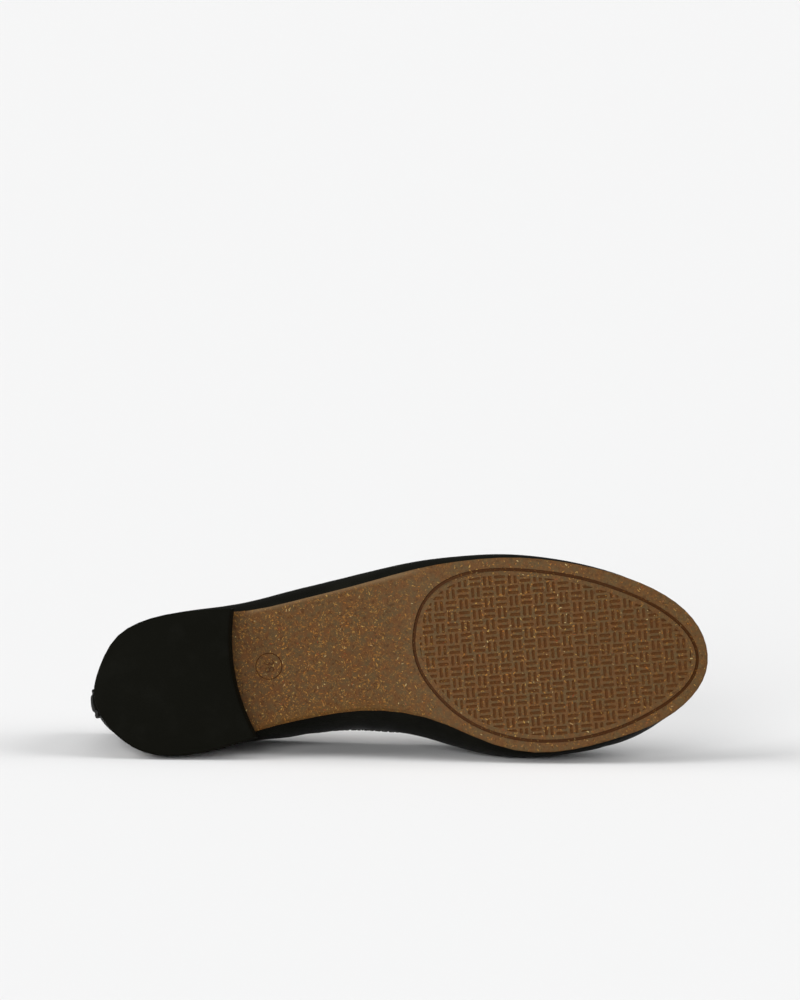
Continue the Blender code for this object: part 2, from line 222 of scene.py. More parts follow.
# The shoe's axes, the upper's wall and the tread's groove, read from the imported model

def shoeAxes():
    tread = frame["record"]["mounts"][0]
    up = -Vector(tread["axis"]).normalized()
    along = up.cross(Vector((0, 1, 0))).normalized()
    inner = up.cross(along)
    sole = getPoints(frame["nodes"]["outsole"])
    start = (sole @ np.array(along)).min()
    middle = (sole @ np.array(inner)).min() + soleSizes["outerReach"]
    ground = up.dot(Vector(tread["pos_m"]))
    axes = Matrix((along, inner, up)).transposed()
    return Matrix.Translation(axes @ Vector((start, middle, ground))) @ axes.to_4x4()


def walked(first, step):
    found, here = [first], step(first)
    while here != first:
        found.append(here)
        here = step(here)
    return found


def upRib(loop):
    return loop.link_loop_next.link_loop_radial_next.link_loop_next


def nextRib(loop):
    return loop.link_loop_next.link_loop_next.link_loop_radial_next


def readWall():
    # Ribs of the wall's outer face, from the foot at the sole to the collar,
    # as cubics in the share of the way up
    reading = copyOfNode("upper", "wall_reading")
    bm = bmesh.new()
    bm.from_mesh(reading.data)
    bpy.data.objects.remove(reading)
    bm.faces.ensure_lookup_table()
    first = bm.faces[0].loops[0]
    if len(walked(first, upRib)) > len(walked(first, nextRib)):
        first = first.link_loop_next
    ribs = np.array([[loop.vert.co for loop in walked(rib, upRib)] for rib in walked(first, nextRib)])
    bm.free()
    ribs = inShoe(ribs)
    # Each rib starts at the foot of the outer face, the wider of the two lowest rows, and runs up that face
    heights = ribs[:, :, 2].mean(axis=0)
    widths = np.ptp(ribs[:, :, 1], axis=0)
    foot = max(np.argsort(heights)[:2], key=lambda row: widths[row])
    ribs = np.roll(ribs, -foot, axis=1)
    if ribs[:, 1, 2].mean() < ribs[:, -1, 2].mean():
        ribs = np.roll(ribs[:, ::-1], 1, axis=1)
    # The first rib is at the heel, and those after it are on the inner side
    heel = ribs[:, 0, 0].argmin()
    ribs = np.roll(ribs, -heel, axis=0)
    if ribs[1, 0, 1] < ribs[-1, 0, 1]:
        ribs = np.roll(ribs[::-1], 1, axis=0)
    rows = ribs.shape[1] // 2
    powers = np.vander(np.linspace(0, 1, rows), 4, increasing=True)
    outer = ribs[:, :rows].transpose(1, 0, 2).reshape(rows, -1)
    cubics, misfit, _, _ = np.linalg.lstsq(powers, outer, rcond=None)
    print("read the wall:", ribs.shape, "worst misfit", float(np.abs(powers @ cubics - outer).max()))
    return cubics.reshape(4, len(ribs), 3)


def ringCubics(count):
    # The same wall with more ribs, on a smooth closed curve through those of the model
    spectrum = np.fft.rfft(wallCubics, axis=1)
    return np.fft.irfft(spectrum, n=count, axis=1) * (count / wallCubics.shape[1])


def wallRow(cubics, share):
    return sum(cubic * share**power for power, cubic in enumerate(cubics))


def wallFrame(cubics, share):
    # Points round the wall at one share of its height, with their outward normals and the way up
    points = wallRow(cubics, share)
    climb = unit(sum(power * cubics[power] * share ** (power - 1) for power in (1, 2, 3)))
    roundWay = np.roll(points, -1, axis=0) - np.roll(points, 1, axis=0)
    return points, unit(np.cross(climb, roundWay)), climb


def arcLength(points):
    return np.concatenate(([0.0], np.cumsum(np.linalg.norm(np.diff(points, axis=0), axis=1))))


def soleBottom(x):
    return np.interp(x, footLine[:, 0], footLine[:, 2]) - soleSizes["seatGap"] - soleSizes["thickness"]


def readGroove():
    # Middle line of the groove round the tread, fitted to the floor of the model's groove
    points = inShoe(getPoints(frame["nodes"]["outsole"]))
    depth = points[:, 2] - soleBottom(points[:, 0])
    inner = np.interp(points[:, 0], footLine[:, 0], footLine[:, 1])
    atFloor = np.abs(depth - soleSizes["grooveDepth"]) < 0.00015
    inForefoot = points[:, 0] > soleSizes["grooveStart"]
    offTheEdge = points[:, 1] < inner - 0.002
    floor = points[atFloor & inForefoot & offTheEdge][:, :2]
    middle, size = (floor.max(axis=0) + floor.min(axis=0)) / 2, np.ptp(floor, axis=0) / 2
    turns = np.arctan2(*((floor - middle) / size).T[::-1])
    waves = np.arange(-8, 9)
    fitted = np.linalg.lstsq(np.exp(1j * np.outer(turns, waves)), (floor - middle) @ [1, 1j], rcond=None)[0]

    def at(turns):
        places = np.exp(1j * np.outer(turns, waves)) @ fitted
        return np.stack((places.real, places.imag), axis=1) + middle

    away = np.linalg.norm(at(turns) - floor, axis=1)
    print("read the groove from", len(floor), "points, at", float(away.min()), "to", float(away.max()))
    return at


toScene = shoeAxes()
toShoe = toScene.inverted()
wallCubics = readWall()
footRibs = 704
footLine = wallRow(ringCubics(footRibs), 0)[:footRibs // 2 + 1]      # inner side, from heel to toe
grooveLine = readGroove()


# Shader maths: a Wire is a socket that takes part in sums, and a Finish is a material being wired

class Wire:
    def __init__(self, finish, socket):
        self.finish, self.socket = finish, socket

    def maths(self, operation, *others):
        return self.finish.add("ShaderNodeMath", {"operation": operation}, (self, *others))[0]

    def __add__(self, other):
        return self.maths("ADD", other)

    def __mul__(self, other):
        return self.maths("MULTIPLY", other)

    def __sub__(self, other):
        return self.maths("SUBTRACT", other)

    def __rsub__(self, other):
        return self.finish.add("ShaderNodeMath", {"operation": "SUBTRACT"}, (other, self))[0]

    __radd__, __rmul__ = __add__, __mul__

    def between(self, low, high):
        # Nothing at low, all at high, and soft in between
        return self.finish.add("ShaderNodeMapRange", {"interpolation_type": "SMOOTHSTEP"},
                               {"Value": self, "From Min": low, "From Max": high})[0]


class Outputs:
    def __init__(self, finish, node):
        self.finish, self.node = finish, node

    def __getitem__(self, name):
        return Wire(self.finish, self.node.outputs[name])


class Finish:
    def __init__(self, name):
        self.material = bpy.data.materials.new(name)
        self.material.use_nodes = True
        self.tree = self.material.node_tree
        self.tree.nodes.clear()
        self.object = self.add("ShaderNodeTexCoord")["Object"]

    def add(self, kind, settings=None, sockets=()):
        node = self.tree.nodes.new(kind)
        for name, value in (settings or {}).items():
            if name == "stops":
                self.setStops(node.color_ramp, value)
            else:
                setattr(node, name, value)
        pairs = sockets.items() if isinstance(sockets, dict) else enumerate(sockets)
        for name, value in pairs:
            if isinstance(value, Wire):
                self.tree.links.new(value.socket, node.inputs[name])
            else:
                node.inputs[name].default_value = value
        return Outputs(self, node)

    def setStops(self, ramp, stops):
        while len(ramp.elements) < len(stops):
            ramp.elements.new(1.0)
        for element, (place, colour) in zip(ramp.elements, stops):
            element.position, element.color = place, (*colour, 1)

    def shoePlace(self):
        # The place in the shoe's own axes
        turn = toShoe.to_euler("XYZ")
        sockets = {"Vector": self.object, "Location": toShoe.translation, "Rotation": turn}
        return self.add("ShaderNodeMapping", {"vector_type": "POINT"}, sockets)["Vector"]

    def noise(self, size, detail=2.0, roughness=0.5, place=None, output=0):
        sockets = {"Vector": place or self.object, "Scale": 1 / size,
                   "Detail": detail, "Roughness": roughness}
        return self.add("ShaderNodeTexNoise", {}, sockets)[output]

    def cells(self, feature, size, place):
        return self.add("ShaderNodeTexVoronoi", {"feature": feature}, {"Vector": place, "Scale": 1 / size})

    def blend(self, amount, one, other):
        colours = [colour if isinstance(colour, Wire) else (*colour, 1) for colour in (one, other)]
        return self.add("ShaderNodeMix", {"data_type": "RGBA", "clamp_factor": True},
                        {0: amount, 6: colours[0], 7: colours[1]})[2]

    def bump(self, height, distance, strength=1.0, under=None):
        sockets = {"Height": height, "Distance": distance, "Strength": strength}
        if under:
            sockets["Normal"] = under
        return self.add("ShaderNodeBump", {}, sockets)[0]

    def ramp(self, amount, stops):
        return self.add("ShaderNodeValToRGB", {"stops": stops}, (amount,))[0]

    def vector(self, operation, *values):
        return self.add("ShaderNodeVectorMath", {"operation": operation}, values)[0]

    def surface(self, sockets):
        shader = self.add("ShaderNodeBsdfPrincipled", {}, sockets)
        self.add("ShaderNodeOutputMaterial", {}, {"Surface": shader["BSDF"]})
        return self.material


# Finishes

rubberLook = {
    "light": 0.61,            # all colours are times this, to suit the lights
    "olive": (0.120, 0.071, 0.028),
    "rust": (0.150, 0.064, 0.020),
    "warm": (0.190, 0.084, 0.016),
    "red": (0.150, 0.048, 0.010),
    "dark": (0.090, 0.036, 0.010),
    "dust": (0.240, 0.200, 0.120),
    # painted highlight colour, laid along the bevel of the outer waist edge
    "worn": (0.240, 0.150, 0.075),
    "thread": (0.360, 0.170, 0.034),
    "flecks": ((0.0, (0.47, 0.235, 0.050)), (0.36, (0.40, 0.140, 0.020)), (0.70, (0.56, 0.34, 0.090)),
               (0.93, (0.26, 0.036, 0.010)), (0.975, (0.66, 0.50, 0.22))),
    "mottling": 0.0030,       # size of the olive and rust patches
    "clouds": 0.012,          # size of the redder clouds
    "specks": 0.0016,
    "grit": 0.0011,
    "threads": ((0.0017, 0.016), (0.0011, 0.020)),      # size of their waves, and how thick they are
    "waves": 0.0011,          # size and height of the waves that bend the fibres
    "shankEnd": (0.108, 0.140),             # where the flecks thin out
    "heelBreast": (0.062, 0.071),           # painted shade: a strip of the sole beside the heel breast made a little darker, as the heel's shadow on it
    "innerEdge": (0.105, 0.0106, 3.5),      # lowest place of the waist's inner edge, and how fast it widens
    "outerEdge": (0.065, 0.0335, 0.164),    # start of the waist's outer edge, and how fast it spreads
    "outerRim": (0.0006, 0.0026),           # how far in from that edge the painted highlight fades
    "outerRimEnd": (0.124, 0.142),
}
# Fibres cast into the rubber: their spacing and size, and, for the shank and the forefoot, the range
# of a fibre's own chance over which it goes from hidden to plain
smallFlecks = {
    "spacing": 0.00115,
    "size": (0.00100, 0.00036, 0.00070),
    "shank": (0.35, 0.60),
    "forefoot": (0.65, 0.85),
    "strength": 0.85,
}
bigFlecks = {
    "spacing": 0.0019,
    "size": (0.0015, 0.00046, 0.0011),
    "shank": (0.42, 0.64),
    "forefoot": (0.78, 0.90),
    "strength": 0.90,
}


def addFlecks(finish, colour, place, forefoot, flecks):
    # Each fibre is turned its own way. Gives the colour with the fibres, and where they are.
    cells = finish.cells("F1", flecks["spacing"], place)
    chance = finish.add("ShaderNodeSeparateColor", {}, {0: cells["Color"]})
    away = finish.vector("SUBTRACT", place, cells["Position"])
    turned = finish.add("ShaderNodeVectorRotate", {"rotation_type": "Z_AXIS"},
                        {"Vector": away, "Angle": chance[0] * fullTurn})[0]
    sized = finish.vector("DIVIDE", turned, tuple(size / 2 for size in flecks["size"]))
    reach = finish.add("ShaderNodeVectorMath", {"operation": "LENGTH"}, (sized,))["Value"]
    fibres = 1 - reach.between(0.75, 1.0)
    kind, fate = chance[1], chance[2]
    shown = fate.between(*flecks["shank"]) * (1 - forefoot) + fate.between(*flecks["forefoot"]) * forefoot
    amount = fibres * shown * flecks["strength"]
    return finish.blend(amount, colour, finish.ramp(kind, rubberLook["flecks"])), fibres


def squiggles(finish, place, size, width):
    # Thin wavy threads, broken into short runs that come in clusters
    line = (finish.noise(size, 1.0, 0.5, place) - 0.5).maths("ABSOLUTE").between(width, width * 2.6)
    broken = finish.noise(size * 0.62, 1.0, 0.5, place).between(0.50, 0.56)
    clusters = finish.noise(size * 2.2, 2.0, 0.5, place).between(0.36, 0.60)
    return (1 - line) * broken * clusters


def fleckedRubber(name, shade, redness):
    look = rubberLook
    finish = Finish(name)
    straight = finish.shoePlace()
    wave = finish.noise(look["waves"], 1.0, place=straight, output="Color")
    shift = finish.vector("SUBTRACT", wave, (0.5,) * 3)
    place = finish.vector("MULTIPLY_ADD", shift, (look["waves"],) * 3, straight)
    axes = finish.add("ShaderNodeSeparateXYZ", {}, (straight,))
    along, side = axes[0], axes[1]
    forefoot = along.between(*look["shankEnd"])
    grit = finish.noise(look["grit"], 3.0, 0.65)
    # The rubber itself: mottling, clouds, dark specks, and a warmer edge along the inner side of the waist
    mottling = finish.noise(look["mottling"], 3.0, 0.6).between(0.34, 0.66)
    colour = finish.blend(mottling, look["olive"], look["rust"])
    clouds = finish.noise(look["clouds"], 3.0).between(0.45, 0.75)
    colour = finish.blend(clouds * (forefoot * 0.10 + 0.22), colour, look["red"])
    specks = finish.noise(look["specks"], 2.0, 0.6, place).between(0.55, 0.68)
    colour = finish.blend(specks * 0.80, colour, look["dark"])
    colour = finish.blend(forefoot * 0.06, colour, look["dust"])
    middle, edge, widening = look["innerEdge"]
    off = along - middle
    inset = off * off * widening + edge - side
    colour = finish.blend((1 - inset.between(0.0, 0.0065)) * (1 - forefoot) * 0.32, colour, look["warm"])
    colour = finish.blend(redness, colour, look["red"])
    # What is cast into it: threads and two sizes of flecks
    wide, narrow = look["threads"]
    threads = squiggles(finish, straight, *wide) + squiggles(finish, place, *narrow)
    colour = finish.blend(threads * (1 - forefoot * 0.5) * 0.60, colour, look["thread"])
    colour, _ = addFlecks(finish, colour, place, forefoot, smallFlecks)
    colour, raised = addFlecks(finish, colour, place, forefoot, bigFlecks)
    # Painted highlight: a pale band along the bevel of the outer waist edge, where light falls on it
    start, edge, spread = look["outerEdge"]
    rimHighlight = 1 - ((along - start) * spread + edge + side).between(*look["outerRim"])
    waist = along.between(start - 0.004, start + 0.004) * (1 - along.between(*look["outerRimEnd"]))
    colour = finish.blend(rimHighlight * waist * 0.75, colour, look["worn"])
    # Painted shade of the heel on the sole beside its breast
    heelShade = along.between(*look["heelBreast"]) * 0.06 + 0.94
    level = (grit * 0.5 + 0.75) * heelShade * (forefoot * 0.08 + 1) * (shade * look["light"])
    shaded = finish.add("ShaderNodeVectorMath", {"operation": "SCALE"}, {0: colour, "Scale": level})[0]
    return finish.surface({
        "Base Color": shaded,
        "Roughness": grit * 0.16 + 0.46,
        "Normal": finish.bump(grit + raised * 0.5, 0.00006),
        "Specular IOR Level": 0.05,
    })


heelLook = {
    "dark": (0.0040, 0.0040, 0.0027),
    "light": (0.0052, 0.0052, 0.0038),
    "grit": 0.0009,
    "dust": 0.010,            # size of the lighter clouds
}


def heelRubber():
    finish = Finish("heel_rubber")
    dust = finish.noise(heelLook["dust"], 4.0, 0.6)
    return finish.surface({
        "Base Color": finish.blend(dust.between(0.45, 0.75), heelLook["dark"], heelLook["light"]),
        "Roughness": dust * 0.12 + 0.50,
        "Normal": finish.bump(finish.noise(heelLook["grit"], 3.0, 0.6), 0.00004),
        "Specular IOR Level": 0.012,
    })


leatherLook = {
    "dark": (0.0032, 0.0031, 0.0020),
    "light": (0.0054, 0.0052, 0.0034),
    "pores": 0.00035,
    "worn": 0.012,            # size of the lighter and rougher places
    "warp": (0.003, 0.0006),  # size and amount of the waves that bend the pebbles
    # roughness, specular level and size of a pebble
    "upper": (0.46, 0.035, 0.0010),
    "binding": (0.50, 0.035, 0.0007),
    "strip": (0.52, 0.030, 0.0008),
}


def grainedLeather(name, roughness, level, pebble):
    # Fine pores and shallow pebbles, with a colour that shifts a little from place to place
    finish = Finish(name)
    size, amount = leatherLook["warp"]
    warp = finish.noise(size, output="Color")
    bent = finish.add("ShaderNodeMix", {"data_type": "VECTOR"}, {0: amount, 4: finish.object, 5: warp})[1]
    edges = finish.cells("DISTANCE_TO_EDGE", pebble, bent)[0]
    pebbles = finish.bump(edges.between(0.0, 0.14), 0.00003)
    pores = finish.bump(finish.noise(leatherLook["pores"], 2.0, 0.6), 0.00002, under=pebbles)
    worn = finish.noise(leatherLook["worn"], 3.0)
    return finish.surface({
        "Base Color": finish.blend(worn.between(0.35, 0.70), leatherLook["dark"], leatherLook["light"]),
        "Roughness": roughness + worn * 0.14 - 0.07,
        "Normal": finish.bump(worn, 0.0002, under=pores),
        "Specular IOR Level": level,
    })


sockLook = {
    "nap": 0.0005,
    "worn": 0.020,            # size of the polished places
    # darkest and lightest colour
    "lining": ((0.25, 0.165, 0.095), (0.36, 0.25, 0.155)),
    "sock": ((0.30, 0.205, 0.125), (0.42, 0.30, 0.19)),
}


def sockLeather(name, dark, light):
    # Smooth lining leather, with a short nap and a little polish in places
    finish = Finish(name)
    nap = finish.noise(sockLook["nap"], 4.0, 0.7)
    worn = finish.noise(sockLook["worn"], 3.0)
    return finish.surface({
        "Base Color": finish.blend(worn.between(0.3, 0.7) * 0.7 + nap * 0.3, dark, light),
        "Roughness": worn * 0.2 + 0.48,
        "Normal": finish.bump(nap, 0.00005),
        "Specular IOR Level": 0.3,
    })


def twistedThread():
    finish = Finish("black_thread")
    twist = finish.add("ShaderNodeTexWave", {"wave_type": "BANDS", "bands_direction": "DIAGONAL"},
                       {"Vector": finish.object, "Scale": 900.0, "Distortion": 1.0})[1]
    return finish.surface({
        "Base Color": finish.blend(twist, (0.006, 0.006, 0.006), (0.014, 0.014, 0.013)),
        "Roughness": 0.6 + twist * 0.1,
        "Normal": finish.bump(twist, 0.00008),
        "Specular IOR Level": 0.25,
    })


# Sole: the basket weave, the groove and the ring with a size number are cut into a copy of the model's

treadWeave = {
    "cell": (0.0051, 0.0045),
    "barShare": 0.90,         # length of a bar, as a share of its cell
    "barWidth": 0.00130,
    "barSpacing": 0.00226,
    "barEdge": 0.38,          # rounding of its edges, as a share of its width
    "barFloor": (0.94, 0.80),     # its deeper half, as shares of its length and width
    "depth": 0.00048,
    "margin": 0.0024,         # bare band inside the groove
    "marginPoints": 96,
}
grooveCut = {
    "points": 200,
    "sides": 16,
    "width": 0.0013,
    "overcut": 1.15,          # depth, as a share of that of the model's groove
    "power": 0.3,             # the lower, the squarer its section
}
sizeMark = {
    "words": "38",
    "place": (0.0717, -0.0101),
    "radius": 0.0053,
    "line": 0.00022,
    "textSize": 0.0054,
    "depth": 0.00022,
}


def liftToSole(piece):
    # A shape made about height 0 is lifted to the curve of the underside, and put in the scene
    points = getPoints(piece)
    points[:, 2] += soleBottom(points[:, 0])
    setPoints(piece, inScene(points))
    faceOutwards(piece)


def makeBar(length):
    bpy.ops.mesh.primitive_cube_add(size=1)
    bar = bpy.context.object
    height = treadWeave["depth"] + soleSizes["cutterProud"]
    bar.scale = (length, treadWeave["barWidth"], height)
    bar.location = (0, 0, treadWeave["depth"] - height / 2)
    bpy.ops.object.transform_apply(location=True, rotation=False, scale=True)
    bpy.ops.object.mode_set(mode="EDIT")
    bpy.ops.mesh.select_mode(type="EDGE")
    bpy.ops.mesh.select_all(action="SELECT")
    bpy.ops.mesh.bevel(offset=treadWeave["barWidth"] * treadWeave["barEdge"], segments=2, affect="EDGES")
    bpy.ops.object.mode_set(mode="OBJECT")
    for vertex in bar.data.vertices:
        if vertex.co.z > 0:
            vertex.co.x *= treadWeave["barFloor"][0]
            vertex.co.y *= treadWeave["barFloor"][1]
    return bar


def makeBars(low, high):
    # Pairs of bars, lying and standing by turns, over the box from low to high
    across, up = treadWeave["cell"]
    middle = (low + high) / 2
    columns = int((high[0] - low[0]) / across / 2) + 1
    rows = int((high[1] - low[1]) / up / 2) + 1
    quarterTurn = Matrix.Rotation(math.pi / 2, 4, "Z")
    lying, standing = [], []
    for column in range(-columns, columns + 1):
        for row in range(-rows, rows + 1):
            x, y = middle[0] + column * across, middle[1] + row * up
            for side in (-0.5, 0.5):
                shift = side * treadWeave["barSpacing"]
                if (column + row) % 2:
                    lying.append(Matrix.Translation((x, y + shift, 0)))
                else:
                    standing.append(Matrix.Translation((x + shift, y, 0)) @ quarterTurn)
    bars = repeated("lying_bars", makeBar(across * treadWeave["barShare"]), lying)
    others = repeated("standing_bars", makeBar(up * treadWeave["barShare"]), standing)
    choose(bars)
    others.select_set(True)
    bpy.ops.object.join()
    return bars


def makeTrimmer(outline):
    # A plug with the shape of the oval inside the groove
    way = np.roll(outline, -1, axis=0) - np.roll(outline, 1, axis=0)
    inwards = unit(np.stack((-way[:, 1], way[:, 0]), axis=1))
    trimmed = outline + inwards * treadWeave["margin"]
    bpy.ops.mesh.primitive_cylinder_add(vertices=len(trimmed), radius=1, depth=0.01, end_fill_type="NGON")
    trimmer = bpy.context.object
    points = getPoints(trimmer)
    order = np.arctan2(points[:, 1], points[:, 0]) % fullTurn / fullTurn * len(trimmed)
    points[:, :2] = trimmed[np.rint(order).astype(int) % len(trimmed)]
    setPoints(trimmer, points)
    faceOutwards(trimmer)
    return trimmer


def makeWeaveCutter(finish):
    outline = grooveLine(np.linspace(0, fullTurn, treadWeave["marginPoints"], endpoint=False))
    bars = makeBars(outline.min(axis=0), outline.max(axis=0))
    trimmer = makeTrimmer(outline)
    applyModifier(bars, "BOOLEAN", operation="INTERSECT", object=trimmer, solver="MANIFOLD")
    bpy.data.objects.remove(trimmer)
    bars.data.materials.clear()
    bars.data.materials.append(finish)
    liftToSole(bars)
    return rename(bars, "weave_cutter")


def makeGrooveCutter(finish):
    count, sides, power = grooveCut["points"], grooveCut["sides"], grooveCut["power"]
    bpy.ops.mesh.primitive_torus_add(major_segments=count, minor_segments=sides)
    ring = bpy.context.object
    line = grooveLine(np.arange(count) / count * fullTurn)
    way = unit(np.roll(line, -1, axis=0) - np.roll(line, 1, axis=0))
    out = np.stack((way[:, 1], -way[:, 0]), axis=1)
    turns = np.arange(sides) / sides * fullTurn
    side = squarer(np.cos(turns), power) * grooveCut["width"] / 2
    depth = squarer(np.sin(turns), power) * soleSizes["grooveDepth"] * grooveCut["overcut"]
    height = np.where(np.sin(turns) > 0, depth, np.sin(turns) * soleSizes["cutterProud"])
    points = np.zeros((count, sides, 3))
    points[:, :, :2] = line[:, None] + out[:, None] * side[None, :, None]
    points[:, :, 2] = height
    setPoints(ring, points.reshape(-1, 3))
    ring.data.materials.append(finish)
    liftToSole(ring)
    return rename(ring, "groove_cutter")


def makeMarkCutter(finish):
    x, y = sizeMark["place"]
    bpy.ops.mesh.primitive_torus_add(major_segments=72, minor_segments=8, major_radius=sizeMark["radius"],
                                     minor_radius=sizeMark["line"], location=(x, y, 0))
    ring = bpy.context.object
    bpy.ops.object.transform_apply(location=True)
    bpy.ops.object.text_add()
    words = bpy.context.object
    words.data.body = sizeMark["words"]
    words.data.align_x, words.data.align_y = "CENTER", "CENTER"
    words.data.size = sizeMark["textSize"]
    words.data.extrude = sizeMark["depth"]
    words.data.resolution_u = 4
    # Read from below, with the tops of the numbers towards the toe
    words.matrix_world = Matrix(((0, 1, 0, x), (1, 0, 0, y), (0, 0, -1, 0), (0, 0, 0, 1)))
    bpy.ops.object.convert(target="MESH")
    words = bpy.context.object
    bpy.ops.object.transform_apply(location=True, rotation=True, scale=True)
    bpy.ops.object.mode_set(mode="EDIT")
    bpy.ops.mesh.select_all(action="SELECT")
    bpy.ops.mesh.remove_doubles(threshold=2e-5)
    bpy.ops.object.mode_set(mode="OBJECT")
    for part in (ring, words):
        part.data.materials.clear()
        part.data.materials.append(finish)
        liftToSole(part)
    return rename(ring, "ring_cutter"), rename(words, "number_cutter")


def makeSole():
    # Painted shade: the weave's recesses and the groove, ring and number cut into the sole take darker
    # copies of the rubber, with shade below one, along with a redder tone
    rubber = fleckedRubber("flecked_rubber", shade=1.0, redness=0.0)
    shadedRecess = fleckedRubber("shaded_recess_rubber", shade=0.84, redness=0.62)
    dark = fleckedRubber("shaded_groove_rubber", shade=0.62, redness=0.85)
    sole = copyOfNode("outsole", "flecked_outsole")
    sole.data.materials.append(rubber)
    cutters = [makeGrooveCutter(dark), makeWeaveCutter(shadedRecess), *makeMarkCutter(dark)]
    for cutter in cutters:
        solver = "EXACT" if cutter.name == "number_cutter" else "MANIFOLD"
        applyModifier(sole, "BOOLEAN", operation="DIFFERENCE", object=cutter, solver=solver,
                      material_mode="TRANSFER")
        bpy.data.objects.remove(cutter)
        print("cut the sole, now", len(sole.data.polygons), "faces")
    smooth(sole, soleSizes["smoothAngle"])
    fasten(sole, "flecked_rubber", "outsole")


# Heel block: the model's, with its flat sides made whole and its edges rounded

heelSizes = {
    "bevel": 0.00035,
    "bevelAngle": 28,
    "smoothAngle": 30,
}


def makeHeel():
    heel = copyOfNode("heel", "heel_block")
    bpy.ops.object.mode_set(mode="EDIT")
    bpy.ops.mesh.select_all(action="SELECT")
    bpy.ops.mesh.dissolve_limited(angle_limit=math.radians(0.5))
    bpy.ops.object.mode_set(mode="OBJECT")
    roundEdges(heel, heelSizes["bevel"], 2, heelSizes["bevelAngle"])
    heel.data.materials.append(heelRubber())
    smooth(heel, heelSizes["smoothAngle"])
    fasten(heel, "heel_rubber", "heel")


# Upper: one wall of leather and lining, with gathers under the collar and soft creases

upperSizes = {
    "ribs": 1056,
    "wall": 0.0018,
    "leatherRows": 48,
    "liningRows": 24,
    "liningRelief": 0.7,      # share of the gathers and creases that shows inside
    "tuck": 0.0005,           # how far the foot turns in over the sole
    "tuckReach": 0.035,       # as a share of the wall's height
    "gatherPitch": 0.0031,
    "gatherHeight": 0.00026,
    "gatherReach": 0.0085,
    "gatherTop": 0.0016,      # gathers are fainter this near the collar
    "lastingPitch": 0.0040,
    "lastingHeight": 0.00022,
    "lastingToe": 0.11,       # how far they spread there, as a share of the way round
    "lastingHeel": 0.035,
    "lastingReach": 0.16,     # as a share of the wall's height
}
# The swelling beside a crease, in shares of the crease's depth and width
creaseLip = {"height": 0.35, "place": 1.9, "width": 0.8}
# Each crease runs between two places on one side of the shoe: share of its length, and share of the
# wall's height. A positive depth is a trough and a negative one a ridge.
Crease = namedtuple("Crease", "side start end width depth")
creases = (
    Crease("inner", (0.240, 0.94), (0.262, 0.62), 0.0040, 0.0004),
    Crease("inner", (0.330, 0.92), (0.340, 0.64), 0.0036, 0.0003),
    Crease("inner", (0.430, 0.92), (0.420, 0.66), 0.0040, 0.0003),
    Crease("inner", (0.560, 0.90), (0.600, 0.58), 0.0038, 0.0004),
    Crease("inner", (0.610, 0.92), (0.665, 0.60), 0.0030, 0.0003),
    Crease("inner", (0.820, 0.30), (0.905, 0.30), 0.0100, -0.0014),
    Crease("outer", (0.235, 0.95), (0.255, 0.60), 0.0042, 0.0005),
    Crease("outer", (0.275, 0.92), (0.290, 0.62), 0.0030, -0.0003),
    Crease("outer", (0.325, 0.93), (0.332, 0.62), 0.0038, 0.0004),
    Crease("outer", (0.440, 0.93), (0.428, 0.62), 0.0042, 0.0004),
    Crease("outer", (0.560, 0.92), (0.610, 0.58), 0.0038, 0.0004),
    Crease("outer", (0.640, 0.94), (0.690, 0.60), 0.0032, 0.0003),
)


def creasePlace(cubics, side, along, share):
    half = len(cubics[0]) // 2
    row = wallRow(cubics, share)
    ribs = row[:half] if side == "inner" else row[half:]
    length = footLine[:, 0].max()
    return ribs[np.abs(ribs[:, 0] - along * length).argmin()]


def creaseRelief(cubics, points):
    relief = np.zeros(len(points))
    for crease in creases:
        start = creasePlace(cubics, crease.side, *crease.start)
        end = creasePlace(cubics, crease.side, *crease.end)
        way = end - start
        share = np.clip((points - start) @ way / (way @ way), 0, 1)
        away = np.linalg.norm(points - start - share[:, None] * way, axis=1) / crease.width
        fade = 1 - 0.5 * np.abs(2 * share - 1) ** 2
        lip = creaseLip["height"] * np.exp(-((away - creaseLip["place"]) / creaseLip["width"]) ** 2)
        relief -= crease.depth * fade * (np.exp(-away**2) - lip)
    return relief


def gatherRelief(cubics, share):
    # Short pleats that the drawn-in collar pulls into the leather below it
    collar, foot = wallRow(cubics, 1.0), wallRow(cubics, 0.0)
    ribs = len(collar)
    run = arcLength(np.vstack((collar, collar[:1])))
    pleats = round(run[-1] / upperSizes["gatherPitch"])
    phase = fullTurn * (pleats * run[:-1] / run[-1] + 0.9 * softNoise(ribs, waves=60, seed=11))
    height = np.linalg.norm(collar - foot, axis=1) * (1 - share)
    reach = upperSizes["gatherReach"] * (1 + 0.45 * softNoise(ribs, waves=90, seed=5))
    top = 0.55 * np.exp(-(height / upperSizes["gatherTop"]) ** 2)
    strength = 0.72 + 0.28 * softNoise(ribs, waves=24, seed=3)
    pleat = np.abs(np.sin(phase / 2)) ** 0.8 * 2 - 1.25
    return upperSizes["gatherHeight"] * strength * np.exp(-((height / reach) ** 2)) * (1 - top) * pleat


def lastingRelief(cubics, share):
    # Leather drawn in under the toe and the heel leaves faint pleats just above the sole
    foot = wallRow(cubics, 0.0)
    run = arcLength(foot)
    ribs = len(foot)
    places = np.arange(ribs) / ribs
    toe = np.exp(-((places - 0.5) / upperSizes["lastingToe"]) ** 2)
    heel = 0.6 * np.exp(-((places - np.rint(places)) / upperSizes["lastingHeel"]) ** 2)
    phase = fullTurn * (run / upperSizes["lastingPitch"] + 0.8 * softNoise(ribs, waves=50, seed=21))
    fade = math.exp(-(share / upperSizes["lastingReach"]) ** 2)
    return upperSizes["lastingHeight"] * (toe + heel) * fade * np.sin(phase)


